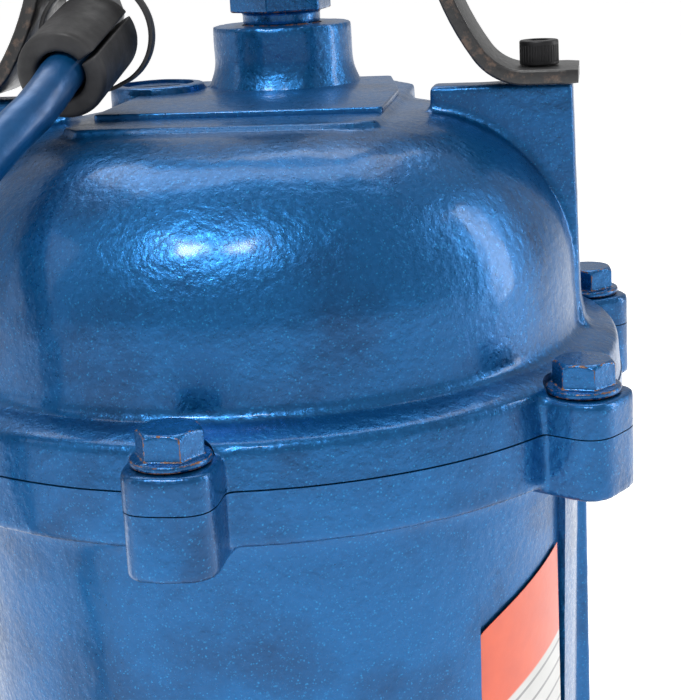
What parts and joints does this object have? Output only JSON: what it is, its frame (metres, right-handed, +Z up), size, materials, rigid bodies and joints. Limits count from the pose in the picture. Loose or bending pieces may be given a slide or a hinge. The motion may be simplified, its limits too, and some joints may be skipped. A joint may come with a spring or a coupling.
{
  "type": "submersible sump pump",
  "caption": "Submersible sump pump: domed blue cast motor housing with a bent lifting strap, side outlet elbow with hose barb, strainer base and coiled supply cable.",
  "frame": {"origin": "centre of the strainer base's flat underside, on the shaft's axis", "axes": "+Z up along the shaft, +X towards the outlet, -Y the front"},
  "size_m": [0.4974, 0.2306, 0.5406],
  "materials": {
    "blue_casting_paint": "metallic blue paint over rough sand-cast iron",
    "blue_bolt_paint": "metallic blue paint over plated bolt heads, worn to rust at the edges",
    "black_strap_paint": "black powder coat, satin",
    "black_screw_oxide": "black oxide socket screw",
    "black_rubber": "moulded rubber, matt",
    "black_nylon": "nylon tie, matt",
    "laminated_steel": "stacked laminations",
    "copper_winding": "varnished copper wire",
    "bare_steel": "machined steel",
    "zinc_bolt_steel": "zinc plated",
    "brass": "machined brass",
    "seal_carbon": "lapped carbon ring",
    "seal_ceramic": "lapped ceramic ring",
    "impeller_iron": "bare cast iron",
    "capacitor_can": "drawn can",
    "cable_jacket": "rubber cable jacket, satin",
    "black_plastic": "moulded plastic",
    "blank_label": "printed film, plain bands with no lettering"
  },
  "bodies": {
    "pump_body": {"base_bolt_1": "zinc_bolt_steel", "base_bolt_2": "zinc_bolt_steel", "base_bolt_3": "zinc_bolt_steel", "bearing_bracket": "blue_casting_paint", "cable_coil": "cable_jacket", "cable_sleeve": "black_rubber", "cable_tail": "cable_jacket", "cable_tie": "black_nylon", "cap_bolt_1": "blue_bolt_paint", "cap_bolt_2": "blue_bolt_paint", "cap_bolt_3": "blue_bolt_paint", "cap_bolt_4": "blue_bolt_paint", "cap_bolt_5": "blue_bolt_paint", "cap_bolt_6": "blue_bolt_paint", "cap_gasket": "black_rubber", "coil_tie": "black_nylon", "gland_grommet": "black_rubber", "gland_nut": "blue_casting_paint", "handle_screw_left": "black_screw_oxide", "handle_screw_right": "black_screw_oxide", "handle_strap": "black_strap_paint", "hose_barb": "black_plastic", "housing_bolt_1": "zinc_bolt_steel", "housing_bolt_2": "zinc_bolt_steel", "housing_bolt_3": "zinc_bolt_steel", "housing_bolt_4": "zinc_bolt_steel", "lower_bearing_outer": "bare_steel", "motor_housing": "blue_casting_paint", "oil_chamber": "blue_casting_paint", "oil_plug": "brass", "outlet_bolt_lower": "zinc_bolt_steel", "outlet_bolt_upper": "zinc_bolt_steel", "outlet_elbow": "blue_casting_paint", "outlet_gasket": "black_rubber", "plug": "black_plastic", "power_cable": "cable_jacket", "rating_plate": "blank_label", "seal_seat": "seal_carbon", "start_capacitor": "capacitor_can", "stator_core": "laminated_steel", "stator_winding_lower": "copper_winding", "stator_winding_upper": "copper_winding", "strain_relief": "black_rubber", "strainer_base": "blue_casting_paint", "suction_plate": "blue_casting_paint", "top_cap": "blue_casting_paint", "upper_bearing_outer": "bare_steel", "vent_plug": "blue_casting_paint", "volute_bolt_1": "zinc_bolt_steel", "volute_bolt_2": "zinc_bolt_steel", "volute_bolt_3": "zinc_bolt_steel", "volute_casing": "blue_casting_paint"},
    "rotor": {"shaft": "bare_steel", "rotor_core": "laminated_steel", "upper_bearing_inner": "bare_steel", "lower_bearing_inner": "bare_steel", "seal_rotor": "seal_ceramic", "seal_bellows": "black_rubber", "impeller": "impeller_iron", "impeller_nut": "bare_steel"}
  },
  "joints": [
    {"name": "rotor_spin", "type": "hinge", "parent": "pump_body", "child": "rotor", "pos_m": [0, 0, 0.2], "axis": [0, 0, 1], "continuous": true}
  ]
}
